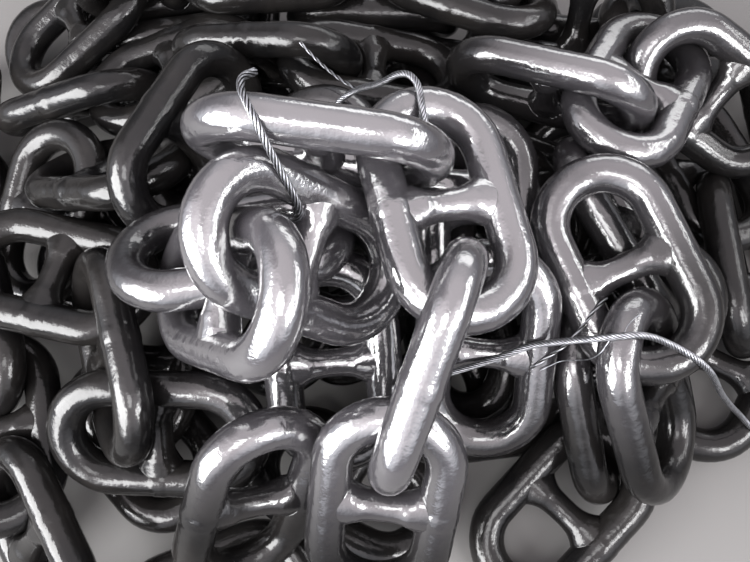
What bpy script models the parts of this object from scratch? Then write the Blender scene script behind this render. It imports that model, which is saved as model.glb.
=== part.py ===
# A heap of stud-link anchor chain: one length of common links lying loose in a heap.
# Metres, +Z up. The floor is z = 0 and the origin is under the middle of the heap.
import math

import bmesh
import bpy
import numpy as np
from mathutils import Matrix, Vector
from mathutils.bvhtree import BVHTree

# The link: a welded ring of round bar with a stud across its middle
BAR_DIAMETER = 0.060
LINK_LENGTH = 0.360
LINK_WIDTH = 0.216
STUD_DIAMETER = 0.040
STUD_FOOT_DIAMETER = 0.054
STUD_FOOT_LENGTH = 0.014
BAR_SIDES = 8
BOW_SEGMENTS = 5
SHARP_ANGLE = 50
WELD_DISTANCE = 0.00001

# The core: the links that are hidden under the top layers, as one plain mound
CORE_HEIGHT = 0.255
CORE_PEAK = (0.0, -0.06)
CORE_SIDES = (
    (0, 0.68), (50, 0.78), (90, 0.60), (130, 0.78),
    (180, 0.68), (225, 0.72), (270, 0.46), (305, 0.42),
)
CORE_SIDE_SHARPNESS = 6
CORE_SEGMENTS = 40
CORE_RINGS = 14

# How the links are laid: each strand is let down onto the heap, then the placed links are
# pressed into it, and then all of them are spread until they are clear of each other.
LINKING_SLACK = 0.012
LAYING_HEIGHT = 0.10
LAYING_STEP = 0.006
LAYING_STEPS = 90
BURIED_GIVE = 0.15
PRESSING_STEP = 0.001
PRESSING_STEPS = 140
PLACED_GIVE = 0.2
PLACED_PULL = 0.05
SPREADING_STEPS = 160
SPREADING_MARGIN = 0.0024
# A strand starts this share of a link's width above the links that it would land on,
# which are those within this share of a link's length.
STACKING_RISE = 0.6
STACKING_REACH = 0.8
# A link's length over its radius of gyration, which sets how easily a push turns it
LENGTH_PER_GYRATION = 3.6
# Pushes on one link are divided by their number to this power.
PUSH_SHARING = 0.75
# Places are kept to this many decimals, so that they come out the same on every machine.
PLACE_DECIMALS = 6
# Less than this counts as nothing, where something is divided by it.
TINY = 1e-12

# How the links are seated: lowered until each rests, this far apart, on what it touches
CLEARANCE = 0.0003
TOUCHING = 0.0006
SEATING_STEP = 0.002
SEATING_SWEEPS = 12

# Links whose places are set one by one: centre, heading of the long axis, rise of its
# far end and roll about it, in degrees. Roll 0 lies flat and roll 90 stands on edge.
PLACED_LINKS = {
    "crown_link_upper": ((0.095, -0.070, 0.465), -78, 7, -6),
    "crown_link_lower": ((0.070, -0.275, 0.410), -110, -26, 87),
    "crown_link_left": ((-0.090, -0.020, 0.505), -3, -6, 107),
    "crown_link_foot": ((-0.005, -0.465, 0.275), -90, -49, 7),
    "pair_link_right": ((-0.050, -0.150, 0.445), -4, -33, -158),
    "pair_link_left": ((-0.200, -0.165, 0.445), -22, 45, -162),
    "side_link_left": ((-0.225, -0.100, 0.370), -3, -1, 137),
    "side_link_right": ((0.145, -0.240, 0.310), -80, -49, 10),
    "back_link_left": ((-0.290, 0.110, 0.270), -100, 21, -72),
    "front_link_left": ((-0.175, -0.435, 0.220), -122, -52, 120),
    "shoulder_link_middle": ((0.435, 0.215, 0.290), 57, -12, -167),
    "shoulder_link_left": ((0.280, 0.215, 0.200), -18, 38, 100),
    "shoulder_link_right": ((0.590, 0.225, 0.250), -32, -12, 12),
}
# Strands of links laid over the core, in this order: plan route, number of links, and
# roll of the first link in degrees
STRAND_ROUTES = {
    "back_foot": ((-0.76, 0.48), (-0.30, 0.54), (0.20, 0.50), (0.76, 0.46)),
    "back_middle": ((-0.72, 0.26), (-0.48, 0.37), (-0.10, 0.38), (0.18, 0.34)),
    "left_middle": ((-0.74, 0.10), (-0.52, 0.16), (-0.38, 0.20)),
    "left_front_foot": ((-0.66, -0.06), (-0.64, -0.30), (-0.52, -0.50)),
    "left_front_middle": ((-0.47, 0.04), (-0.46, -0.20), (-0.44, -0.44)),
    "right_front_foot": ((0.66, 0.22), (0.68, 0.00), (0.60, -0.24)),
    "right_front_middle": ((0.42, 0.10), (0.46, -0.16), (0.40, -0.36), (0.26, -0.54)),
    "crown_back": ((-0.24, 0.06), (-0.02, 0.10), (0.22, 0.04), (0.28, -0.06)),
    "front_foot": ((-0.34, -0.60), (-0.20, -0.56)),
    "back_left_upper": ((-0.58, 0.34), (-0.40, 0.46), (-0.14, 0.42)),
    "back_right_upper": ((0.10, 0.44), (0.34, 0.40), (0.56, 0.42)),
    "left_foot": ((-0.76, 0.34), (-0.80, 0.02)),
    "right_foot": ((0.78, 0.34), (0.82, 0.08)),
    "right_upper": ((0.29, 0.02), (0.33, -0.28)),
    "crown_front": ((-0.10, -0.16), (-0.08, -0.30)),
}
STRAND_COUNTS = {
    "back_foot": 7, "back_middle": 4, "left_middle": 2, "left_front_foot": 3,
    "left_front_middle": 3, "right_front_foot": 3, "right_front_middle": 4, "crown_back": 3,
    "front_foot": 1, "back_left_upper": 3, "back_right_upper": 3, "left_foot": 2,
    "right_foot": 2, "right_upper": 2, "crown_front": 1,
}
STRAND_ROLLS = {
    "back_foot": 40, "back_middle": -35, "left_middle": 35, "left_front_foot": 50,
    "left_front_middle": -45, "right_front_foot": 45, "right_front_middle": -40, "crown_back": 45,
    "front_foot": 60, "back_left_upper": 20, "back_right_upper": -60, "left_foot": 30,
    "right_foot": -30, "right_upper": 40, "crown_front": 30,
}

# Loose wire ropes lying on the heap: the points of each route, from its upper end, where
# the heap has its origin under its middle
ROPE_DIAMETER = 0.010
ROPE_SIDES = 8
ROPE_POINT_SPACING = 0.020
CURVE_STEPS = 20
ROPE_ROUTES = {
    "wire_rope_left": (
        (-0.120, 0.078, 0.598), (-0.131, 0.060, 0.612), (-0.131, 0.041, 0.618), (-0.123, 0.020, 0.624),
        (-0.112, -0.003, 0.620), (-0.101, -0.021, 0.599), (-0.091, -0.034, 0.572), (-0.079, -0.050, 0.546),
        (-0.069, -0.064, 0.516), (-0.073, -0.068, 0.492), (-0.084, -0.065, 0.466), (-0.099, -0.061, 0.438),
        (-0.113, -0.058, 0.408), (-0.125, -0.056, 0.382),
    ),
    "wire_rope_top": (
        (-0.065, 0.174, 0.325), (-0.045, 0.184, 0.342), (-0.029, 0.199, 0.356), (-0.009, 0.200, 0.378),
        (0.011, 0.182, 0.417), (0.026, 0.165, 0.447), (0.041, 0.153, 0.474), (0.056, 0.147, 0.496),
        (0.071, 0.139, 0.508), (0.082, 0.124, 0.512), (0.087, 0.108, 0.510), (0.089, 0.092, 0.509),
        (0.092, 0.077, 0.502), (0.096, 0.066, 0.485), (0.100, 0.060, 0.458), (0.103, 0.058, 0.425),
        (0.105, 0.058, 0.405),
    ),
    "wire_rope_right": (
        (0.064, -0.241, 0.257), (0.116, -0.227, 0.271), (0.169, -0.214, 0.285), (0.215, -0.202, 0.303),
        (0.252, -0.192, 0.321), (0.288, -0.193, 0.347), (0.323, -0.197, 0.376), (0.350, -0.198, 0.391),
        (0.376, -0.197, 0.396), (0.402, -0.197, 0.387), (0.430, -0.201, 0.370), (0.456, -0.209, 0.357),
        (0.480, -0.221, 0.347), (0.509, -0.233, 0.317), (0.552, -0.245, 0.245), (0.597, -0.251, 0.175),
        (0.638, -0.257, 0.118), (0.668, -0.269, 0.084), (0.692, -0.285, 0.071), (0.722, -0.305, 0.044),
        (0.768, -0.330, 0.016), (0.820, -0.350, 0.006),
    ),
}

COLLECTION_NAME = "chain_heap"
PAINT_FINISH = {"colour": (0.21, 0.20, 0.20), "roughness": 0.3, "metallic": 0.0}
CORE_FINISH = {"colour": (0.05, 0.05, 0.05), "roughness": 0.5, "metallic": 0.0}
ROPE_FINISH = {"colour": (0.45, 0.45, 0.46), "roughness": 0.4, "metallic": 1.0}


def clear_scene():
    for thing in list(bpy.data.objects):
        bpy.data.objects.remove(thing, do_unlink=True)


def make_material(name, finish):
    material = bpy.data.materials.new(name)
    material.use_nodes = True
    shader = material.node_tree.nodes["Principled BSDF"]
    shader.inputs["Base Color"].default_value = (*finish["colour"], 1.0)
    shader.inputs["Roughness"].default_value = finish["roughness"]
    shader.inputs["Metallic"].default_value = finish["metallic"]
    material.diffuse_color = (*finish["colour"], 1.0)
    return material


# The link's centreline, shared by its mesh and by the way the links are laid
def bow_radius():
    return (LINK_WIDTH - BAR_DIAMETER) / 2


def ring_points():
    half_straight = (LINK_LENGTH - LINK_WIDTH) / 2
    points = []
    for side in (1, -1):
        for step in range(BOW_SEGMENTS + 1):
            angle = math.pi * (step / BOW_SEGMENTS - 0.5)
            along = half_straight + bow_radius() * math.cos(angle)
            points.append((side * along, side * bow_radius() * math.sin(angle), 0.0))
    return points


def skeleton():
    """Ends and radii of the straight pieces that a link is made of."""
    ring = np.array(ring_points())
    starts = np.vstack([ring, [(0.0, -bow_radius(), 0.0)]])
    ends = np.vstack([np.roll(ring, -1, axis=0), [(0.0, bow_radius(), 0.0)]])
    radii = np.full(len(starts), BAR_DIAMETER / 2)
    radii[-1] = STUD_DIAMETER / 2
    return starts, ends, radii


# The core's shape
def core_spread(places):
    """How far out each place lies, 0 at the peak and 1 at the core's foot, and its slope."""
    offsets = places[:, :2] - np.array(CORE_PEAK)
    angles = np.radians([side[0] for side in CORE_SIDES])
    reaches = np.array([side[1] for side in CORE_SIDES])
    normals = np.stack([np.cos(angles), np.sin(angles)], axis=1) / reaches[:, None]
    shares = np.maximum(offsets @ normals.T, 0.0)
    spread = (shares**CORE_SIDE_SHARPNESS).sum(axis=1) ** (1 / CORE_SIDE_SHARPNESS)
    leaning = (shares / np.maximum(spread, TINY)[:, None]) ** (CORE_SIDE_SHARPNESS - 1)
    return spread, leaning @ normals


def core_surface(places):
    """Height of the core at each place, and the surface's unit normal there."""
    spread, slope = core_spread(places)
    heights = CORE_HEIGHT * (1 - spread**2)
    gradients = -2 * CORE_HEIGHT * spread[:, None] * slope
    normals = np.hstack([-gradients, np.ones((len(places), 1))])
    return heights, normals / np.linalg.norm(normals, axis=1, keepdims=True)


# Laying the links
def turned(heading, pitch, roll):
    """The link's axes as columns: lengthwise, across and square to its face."""
    heading, pitch, roll = np.radians([heading, pitch, roll])
    along = np.array(
        [math.cos(heading) * math.cos(pitch), math.sin(heading) * math.cos(pitch), math.sin(pitch)]
    )
    level = np.array([-math.sin(heading), math.cos(heading), 0.0])
    raised = np.cross(along, level)
    across = level * math.cos(roll) + raised * math.sin(roll)
    return np.stack([along, across, np.cross(along, across)], axis=1)


def spin_matrices(spins):
    """Rotation matrices of small spin vectors."""
    angles = np.maximum(np.linalg.norm(spins, axis=1), TINY)
    axes = spins / angles[:, None]
    cross = np.zeros((len(spins), 3, 3))
    cross[:, 0, 1], cross[:, 0, 2] = -axes[:, 2], axes[:, 1]
    cross[:, 1, 0], cross[:, 1, 2] = axes[:, 2], -axes[:, 0]
    cross[:, 2, 0], cross[:, 2, 1] = -axes[:, 1], axes[:, 0]
    sines = np.sin(angles)[:, None, None]
    cosines = np.cos(angles)[:, None, None]
    return np.eye(3) + sines * cross + (1 - cosines) * (cross @ cross)


def closest_points(a_start, a_end, b_start, b_end):
    """Closest points of two sets of line pieces, set against each other one to one."""
    a_run = a_end - a_start
    b_run = b_end - b_start
    apart = a_start - b_start
    aa = (a_run * a_run).sum(-1)
    bb = (b_run * b_run).sum(-1)
    ab = (a_run * b_run).sum(-1)
    a_apart = (a_run * apart).sum(-1)
    b_apart = (b_run * apart).sum(-1)
    denominator = np.maximum(aa * bb - ab * ab, TINY)
    a_share = np.clip((ab * b_apart - bb * a_apart) / denominator, 0, 1)
    b_share = np.clip((ab * a_share + b_apart) / bb, 0, 1)
    a_share = np.clip((ab * b_share - a_apart) / aa, 0, 1)
    return a_start + a_share[..., None] * a_run, b_start + b_share[..., None] * b_run


class Layout:
    """Centres and turns of the links, and the moves that keep them apart."""

    def __init__(self):
        self.centres = np.zeros((0, 3))
        self.turns = np.zeros((0, 3, 3))
        self.starts, self.ends, self.radii = skeleton()
        self.spin_reach = LINK_LENGTH / LENGTH_PER_GYRATION

    def add(self, centres, turns):
        self.centres = np.vstack([self.centres, centres])
        self.turns = np.concatenate([self.turns, turns])

    def world(self, points):
        return np.einsum("nij,kj->nki", self.turns, points) + self.centres[:, None]

    def push_apart(self, ease, moves, spins, counts, margin):
        """Adds the moves that part links which lie too close, shared by how easily each gives."""
        gaps = np.linalg.norm(self.centres[:, None] - self.centres[None], axis=2)
        first, second = np.nonzero(np.triu(gaps < LINK_LENGTH, 1))
        starts, ends = self.world(self.starts), self.world(self.ends)
        a, b = closest_points(
            starts[first][:, :, None], ends[first][:, :, None],
            starts[second][:, None, :], ends[second][:, None, :],
        )
        line = a - b
        distance = np.linalg.norm(line, axis=-1)
        wanted = self.radii[:, None] + self.radii[None, :] + margin
        pair, piece_a, piece_b = np.nonzero(distance < wanted)
        if len(pair) == 0:
            return 0.0
        a, b = a[pair, piece_a, piece_b], b[pair, piece_a, piece_b]
        depth = wanted[piece_a, piece_b] - distance[pair, piece_a, piece_b]
        apart = np.maximum(distance[pair, piece_a, piece_b], TINY)
        normal = line[pair, piece_a, piece_b] / apart[:, None]
        i, j = first[pair], second[pair]
        shared = ease[i] + ease[j]
        self.correct(i, a, normal, depth * ease[i] / shared, moves, spins, counts)
        self.correct(j, b, -normal, depth * ease[j] / shared, moves, spins, counts)
        return depth.max()

    def correct(self, links, points, normal, depth, moves, spins, counts):
        """Adds a push at each point, shared between moving its link and turning it."""
        turning = np.cross(points - self.centres[links], normal)
        softness = 1 + (turning**2).sum(-1) / self.spin_reach**2
        push = (depth / softness)[:, None]
        np.add.at(moves, links, push * normal)
        np.add.at(spins, links, push * turning / self.spin_reach**2)
        np.add.at(counts, links, 1.0)

    def hold_up(self, moves, spins, counts, margin):
        """Adds the upward moves that keep the links out of the core and above the floor."""
        ring_starts, ring_ends = self.starts[:-1], self.ends[:-1]
        points = self.world(np.vstack([ring_starts, (ring_starts + ring_ends) / 2]))
        links = np.repeat(np.arange(len(self.centres)), points.shape[1])
        points = points.reshape(-1, 3)
        radius = self.radii[0] + margin
        heights, normals = core_surface(points)
        above = points[:, 2] - heights - radius / normals[:, 2]
        clear = np.minimum(above, points[:, 2] - radius)
        low = clear < 0
        if not low.any():
            return 0.0
        upward = np.tile((0.0, 0.0, 1.0), (low.sum(), 1))
        self.correct(links[low], points[low], upward, -clear[low], moves, spins, counts)
        return -clear.min()

    def draw_home(self, links, homes, turns):
        """Draws these links a little way back to the places that they were given."""
        self.centres[links] += PLACED_PULL * (homes - self.centres[links])
        away = np.einsum("nij,nkj->nik", turns, self.turns[links])
        twist = np.stack([away[:, 2, 1], away[:, 0, 2], away[:, 1, 0]], axis=1)
        twist -= np.stack([away[:, 1, 2], away[:, 2, 0], away[:, 0, 1]], axis=1)
        self.turns[links] = spin_matrices(PLACED_PULL * twist / 2) @ self.turns[links]

    def relax(self, ease, drop=0.0, margin=0.0):
        """One pass: each link drops a little, and is then pushed clear of what it meets."""
        self.centres[:, 2] -= drop
        moves = np.zeros_like(self.centres)
        spins = np.zeros_like(self.centres)
        counts = np.zeros(len(self.centres))
        worst = self.push_apart(ease, moves, spins, counts, margin)
        worst = max(worst, self.hold_up(moves, spins, counts, margin))
        share = np.maximum(counts, 1.0)[:, None] ** PUSH_SHARING
        self.centres = np.round(self.centres + moves / share, PLACE_DECIMALS)
        self.turns = np.round(spin_matrices(spins / share) @ self.turns, PLACE_DECIMALS)
        return worst


def along_route(route, count, pitch):
    """Places and headings of links spaced one pitch apart along a plan route."""
    route = np.array(route)
    lengths = np.linalg.norm(np.diff(route, axis=0), axis=1)
    total = np.concatenate([[0.0], np.cumsum(lengths)])
    middle = total[-1] / 2
    distances = middle + (np.arange(count) - (count - 1) / 2) * pitch
    places = np.stack([np.interp(distances, total, route[:, axis]) for axis in (0, 1)], axis=1)
    headings = np.empty(count)
    for index, distance in enumerate(distances):
        near, far = distance + np.array([-pitch / 2, pitch / 2])
        run_x, run_y = (np.diff(np.interp((near, far), total, route[:, axis]))[0] for axis in (0, 1))
        headings[index] = math.degrees(math.atan2(run_y, run_x))
    beyond = np.clip(distances - total[-1], 0, None) - np.clip(-distances, 0, None)
    out = np.stack([np.cos(np.radians(headings)), np.sin(np.radians(headings))], axis=1)
    return places + beyond[:, None] * out, headings


def lay_strand(layout, route, count, first_roll):
    """Holds a strand above all that lies below it, then lets it down."""
    pitch = LINK_LENGTH - 2 * BAR_DIAMETER - LINKING_SLACK
    places, headings = along_route(route, count, pitch)
    beneath, _ = core_surface(np.hstack([places, np.zeros((count, 1))]))
    heights = np.maximum(beneath, 0) + LINK_WIDTH / 2
    for index, place in enumerate(places):
        distances = np.linalg.norm(layout.centres[:, :2] - place, axis=1)
        near = distances < LINK_LENGTH * STACKING_REACH
        if near.any():
            top = layout.centres[near, 2].max()
            heights[index] = max(heights[index], top + LINK_WIDTH * STACKING_RISE)
    for _ in range(count):
        heights[1:-1] = np.maximum(heights[1:-1], (heights[:-2] + heights[2:]) / 2)
    centres = np.hstack([places, heights[:, None] + LAYING_HEIGHT])
    rises = np.zeros(count)
    if count > 1:
        rises = np.degrees(np.arctan2(np.gradient(centres[:, 2]), pitch))
    rolls = [first_roll + (90 if index % 2 else 0) for index in range(count)]
    turns = np.array([turned(*angles) for angles in zip(headings, rises, rolls)])
    laid = len(layout.centres)
    layout.add(centres, turns)
    ease = np.full(len(layout.centres), BURIED_GIVE)
    ease[laid:] = 1.0
    drop = np.where(ease == 1.0, LAYING_STEP, 0.0)
    for _ in range(LAYING_STEPS):
        layout.relax(ease, drop)


def lay_links():
    """The layout of every link: strands first, then the placed links pressed into them."""
    layout = Layout()
    for name, route in STRAND_ROUTES.items():
        lay_strand(layout, route, STRAND_COUNTS[name], STRAND_ROLLS[name])
    laid = len(layout.centres)
    homes = np.array([place[0] for place in PLACED_LINKS.values()])
    turns = np.array([turned(*place[1:]) for place in PLACED_LINKS.values()])
    layout.add(homes, turns)
    links = np.arange(laid, len(layout.centres))
    ease = np.ones(len(layout.centres))
    ease[links] = PLACED_GIVE
    drop = np.where(ease == 1.0, PRESSING_STEP, 0.0)
    for _ in range(PRESSING_STEPS):
        layout.draw_home(links, homes, turns)
        layout.relax(ease, drop)
    ease[links] = 1.0
    for _ in range(SPREADING_STEPS):
        worst = layout.relax(ease, margin=SPREADING_MARGIN)
    print("closest pair still", round(worst * 1000, 2), "mm inside its margin")
    return layout


# The solids
def parts_collection():
    collection = bpy.data.collections.new(COLLECTION_NAME)
    bpy.context.scene.collection.children.link(collection)
    return collection


def tube(name, points, radii, sides, closed):
    """A curve object: a round tube through the points, with a radius at each of them."""
    curve = bpy.data.curves.new(name, "CURVE")
    curve.dimensions = "3D"
    curve.bevel_depth = 1.0
    curve.bevel_resolution = sides // 2 - 2
    curve.use_fill_caps = not closed
    spline = curve.splines.new("POLY")
    spline.points.add(len(points) - 1)
    spline.use_cyclic_u = closed
    for point, place, radius in zip(spline.points, points, radii):
        point.co = (*place, 1.0)
        point.radius = radius
    return bpy.data.objects.new(name, curve)


def mesh_of(curve_object):
    """The curve's tube as a mesh with its caps welded on. The curve is removed."""
    bpy.context.scene.collection.objects.link(curve_object)
    graph = bpy.context.evaluated_depsgraph_get()
    mesh = bpy.data.meshes.new_from_object(curve_object.evaluated_get(graph))
    bpy.data.objects.remove(curve_object, do_unlink=True)
    shape = bmesh.new()
    shape.from_mesh(mesh)
    bmesh.ops.remove_doubles(shape, verts=shape.verts, dist=WELD_DISTANCE)
    bmesh.ops.recalc_face_normals(shape, faces=shape.faces)
    shape.to_mesh(mesh)
    shape.free()
    return mesh


def link_mesh(name, growth):
    """One link, its stud welded in. growth thickens it all over, for finding what it touches."""
    ring = ring_points()
    bar_radii = [BAR_DIAMETER / 2 + growth] * len(ring)
    bar = mesh_of(tube(name + "_bar", ring, bar_radii, BAR_SIDES, True))
    foot = bow_radius() - BAR_DIAMETER / 2 + STUD_FOOT_LENGTH / 2
    waist = bow_radius() - BAR_DIAMETER / 2 - STUD_FOOT_LENGTH
    profile = (
        (-foot, STUD_FOOT_DIAMETER),
        (-waist, STUD_DIAMETER),
        (waist, STUD_DIAMETER),
        (foot, STUD_FOOT_DIAMETER),
    )
    stud_points = [(0, place, 0) for place, _ in profile]
    stud_radii = [diameter / 2 + growth for _, diameter in profile]
    stud = mesh_of(tube(name + "_stud", stud_points, stud_radii, BAR_SIDES, False))
    link = bpy.data.objects.new(name + "_guide", bar)
    cutter = bpy.data.objects.new(name + "_stud_guide", stud)
    for guide in (link, cutter):
        bpy.context.scene.collection.objects.link(guide)
    weld = link.modifiers.new("stud", "BOOLEAN")
    weld.operation = "UNION"
    weld.object = cutter
    graph = bpy.context.evaluated_depsgraph_get()
    mesh = bpy.data.meshes.new_from_object(link.evaluated_get(graph))
    mesh.name = name
    for guide in (link, cutter):
        bpy.data.objects.remove(guide, do_unlink=True)
    mesh.shade_smooth()
    mesh.set_sharp_from_angle(angle=math.radians(SHARP_ANGLE))
    return mesh


def core_mesh():
    """The mound: half a ball with each of its points moved onto the core's surface."""
    shape = bmesh.new()
    bmesh.ops.create_uvsphere(shape, u_segments=CORE_SEGMENTS, v_segments=CORE_RINGS, radius=1.0)
    lower_half = [point for point in shape.verts if point.co.z < -WELD_DISTANCE]
    bmesh.ops.delete(shape, geom=lower_half, context="VERTS")
    bmesh.ops.holes_fill(shape, edges=shape.edges[:])
    for point in shape.verts:
        share = point.co.xy.length
        peak = Vector(CORE_PEAK)
        if share > WELD_DISTANCE:
            direction = point.co.xy / share
            reach, _ = core_spread(np.array([peak + direction]))
            peak += direction * share / reach[0]
        point.co = (*peak, CORE_HEIGHT * max(1 - share**2, 0.0))
    bmesh.ops.recalc_face_normals(shape, faces=shape.faces)
    mesh = bpy.data.meshes.new("hidden_links_core")
    shape.to_mesh(mesh)
    shape.free()
    return mesh


def smooth_route(points):
    """Evenly spaced points along a Catmull-Rom curve through the route's own points."""
    route = np.array(points)
    route = np.vstack([2 * route[0] - route[1], route, 2 * route[-1] - route[-2]])
    share = np.arange(CURVE_STEPS)[:, None] / CURVE_STEPS
    curve = []
    for before, start, end, after in zip(route, route[1:], route[2:], route[3:]):
        bend = 2 * before - 5 * start + 4 * end - after
        twist = 3 * start - before - 3 * end + after
        curve.append(start + ((end - before) * share + bend * share**2 + twist * share**3) / 2)
    curve = np.vstack(curve + [route[-2]])
    lengths = np.linalg.norm(np.diff(curve, axis=0), axis=1)
    reached = np.concatenate([[0.0], np.cumsum(lengths)])
    stops = np.linspace(0, reached[-1], round(reached[-1] / ROPE_POINT_SPACING) + 1)
    return np.stack([np.interp(stops, reached, curve[:, axis]) for axis in range(3)], axis=1)


def wire_rope(name, points):
    route = smooth_route(points)
    return tube(name, route, [ROPE_DIAMETER / 2] * len(route), ROPE_SIDES, False)


def world_shape(mesh, place):
    """Points and faces of a mesh put in its place."""
    points = np.empty(len(mesh.vertices) * 3)
    mesh.vertices.foreach_get("co", points)
    matrix = np.array(place)
    points = points.reshape(-1, 3) @ matrix[:3, :3].T + matrix[:3, 3]
    return points, [tuple(face.vertices) for face in mesh.polygons]


def joined_shape(shapes):
    points, faces, count = [], [], 0
    for shape_points, shape_faces in shapes:
        points.append(shape_points)
        faces.extend(tuple(index + count for index in face) for face in shape_faces)
        count += len(shape_points)
    return np.vstack(points), faces


def joined_tree(shapes):
    points, faces = joined_shape(shapes)
    return BVHTree.FromPolygons(points.tolist(), faces)


def free_travel(points, faces, direction, others, longest):
    """How far thickened links can move before they meet the others or the floor."""

    def clear(distance):
        moved = points + direction * distance
        if moved[:, 2].min() < 0:
            return False
        return not BVHTree.FromPolygons(moved.tolist(), faces).overlap(others)

    reached = 0.0
    while reached < longest and clear(reached + SEATING_STEP):
        reached += SEATING_STEP
    short, far = reached, reached + SEATING_STEP
    while reached < longest and far - short > CLEARANCE / 4:
        middle = (short + far) / 2
        short, far = (middle, far) if clear(middle) else (short, middle)
    return short


class Seating:
    """Lets links down until each one rests, through those that it touches, on the core."""

    def __init__(self, layout, mesh, thick_mesh, touch_mesh, core):
        self.layout, self.mesh, self.thick_mesh, self.touch_mesh = layout, mesh, thick_mesh, touch_mesh
        self.core_shape = world_shape(core, Matrix())

    def shape(self, mesh, link):
        return world_shape(mesh, link_place(self.layout, link))

    def near(self, link):
        distances = np.linalg.norm(self.layout.centres - self.layout.centres[link], axis=1)
        return [index for index in np.nonzero(distances < LINK_LENGTH + LINK_WIDTH)[0] if index != link]

    def lower(self, links):
        """Moves these links down together, or inwards along the floor, and tells how far."""
        around = sorted({index for link in links for index in self.near(link)} - set(links))
        others = joined_tree([self.shape(self.mesh, index) for index in around] + [self.core_shape])
        down = np.array([0.0, 0.0, -1.0])
        points, faces = joined_shape([self.shape(self.thick_mesh, link) for link in links])
        travel = free_travel(points, faces, down, others, LINK_WIDTH)
        self.layout.centres[links] += down * travel
        if points[:, 2].min() - travel > SEATING_STEP:
            return travel
        inward = toward_middle(self.layout.centres[links].mean(axis=0))
        sideways = free_travel(points + down * travel, faces, inward, others, LINK_WIDTH)
        self.layout.centres[links] += inward * sideways
        return travel + sideways

    def groups(self):
        """Sets of links that touch each other but not, even through others, the core."""
        count = len(self.layout.centres)
        trees = [joined_tree([self.shape(self.touch_mesh, link)]) for link in range(count)]
        solid_trees = [joined_tree([self.shape(self.mesh, link)]) for link in range(count)]
        group = list(range(count + 1))
        core_tree = joined_tree([self.core_shape])

        def join(first, second):
            old, new = group[first], group[second]
            for index, value in enumerate(group):
                if value == old:
                    group[index] = new

        for link in range(count):
            if trees[link].overlap(core_tree):
                join(link, count)
            for other in self.near(link):
                if group[link] != group[other] and trees[link].overlap(solid_trees[other]):
                    join(link, other)
        loose = {}
        for link in range(count):
            if group[link] != group[count]:
                loose.setdefault(group[link], []).append(link)
        return sorted(loose.values(), key=lambda links: self.layout.centres[links, 2].min())

    def settle(self):
        for sweep in range(SEATING_SWEEPS):
            for _ in range(SEATING_SWEEPS):
                order = np.argsort(self.layout.centres[:, 2])
                if max(self.lower([link]) for link in order) < CLEARANCE:
                    break
            loose = self.groups()
            print("seating sweep", sweep + 1, "loose groups", [len(links) for links in loose])
            if not loose:
                return
            for links in loose:
                self.lower(links)


def toward_middle(place):
    inward = np.array([CORE_PEAK[0] - place[0], CORE_PEAK[1] - place[1], 0.0])
    return inward / np.linalg.norm(inward)


def link_place(layout, index):
    place = Matrix(layout.turns[index].tolist()).to_4x4()
    place.translation = Vector(layout.centres[index].tolist())
    return place


def centring_shift(layout, mesh, core):
    """The plan move that puts the origin under the middle of the heap."""
    shapes = [world_shape(mesh, link_place(layout, index))[0] for index in range(len(layout.centres))]
    points = np.vstack(shapes + [world_shape(core, Matrix())[0]])
    middle = (points.min(axis=0) + points.max(axis=0)) / 2
    return Vector((-middle[0], -middle[1], 0.0))


def link_names(count):
    numbered = [f"stud_link_{index + 1:02d}" for index in range(count - len(PLACED_LINKS))]
    return numbered + list(PLACED_LINKS)


def main():
    clear_scene()
    collection = parts_collection()
    mesh = link_mesh("stud_link", 0.0)
    thick_mesh = link_mesh("stud_link_thick", CLEARANCE)
    touch_mesh = link_mesh("stud_link_touch", TOUCHING)
    core = core_mesh()
    layout = lay_links()
    Seating(layout, mesh, thick_mesh, touch_mesh, core).settle()
    for guide in (thick_mesh, touch_mesh):
        bpy.data.meshes.remove(guide)
    shift = centring_shift(layout, mesh, core)
    print("heap moved by", [round(value, 4) for value in shift])
    mesh.materials.append(make_material("chain_paint", PAINT_FINISH))
    core.materials.append(make_material("hidden_chain", CORE_FINISH))
    for index, name in enumerate(link_names(len(layout.centres))):
        link = bpy.data.objects.new(name, mesh)
        link.matrix_world = Matrix.Translation(shift) @ link_place(layout, index)
        collection.objects.link(link)
    mound = bpy.data.objects.new("hidden_links_core", core)
    mound.location = shift
    collection.objects.link(mound)
    steel = make_material("wire_rope", ROPE_FINISH)
    for name, points in ROPE_ROUTES.items():
        rope = wire_rope(name, points)
        rope.data.materials.append(steel)
        collection.objects.link(rope)


main()
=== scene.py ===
import math

import bmesh
import bpy
import numpy as np
from mathutils import Euler, Matrix, Vector, noise
from mathutils.bvhtree import BVHTree
from mathutils.kdtree import KDTree


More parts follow.
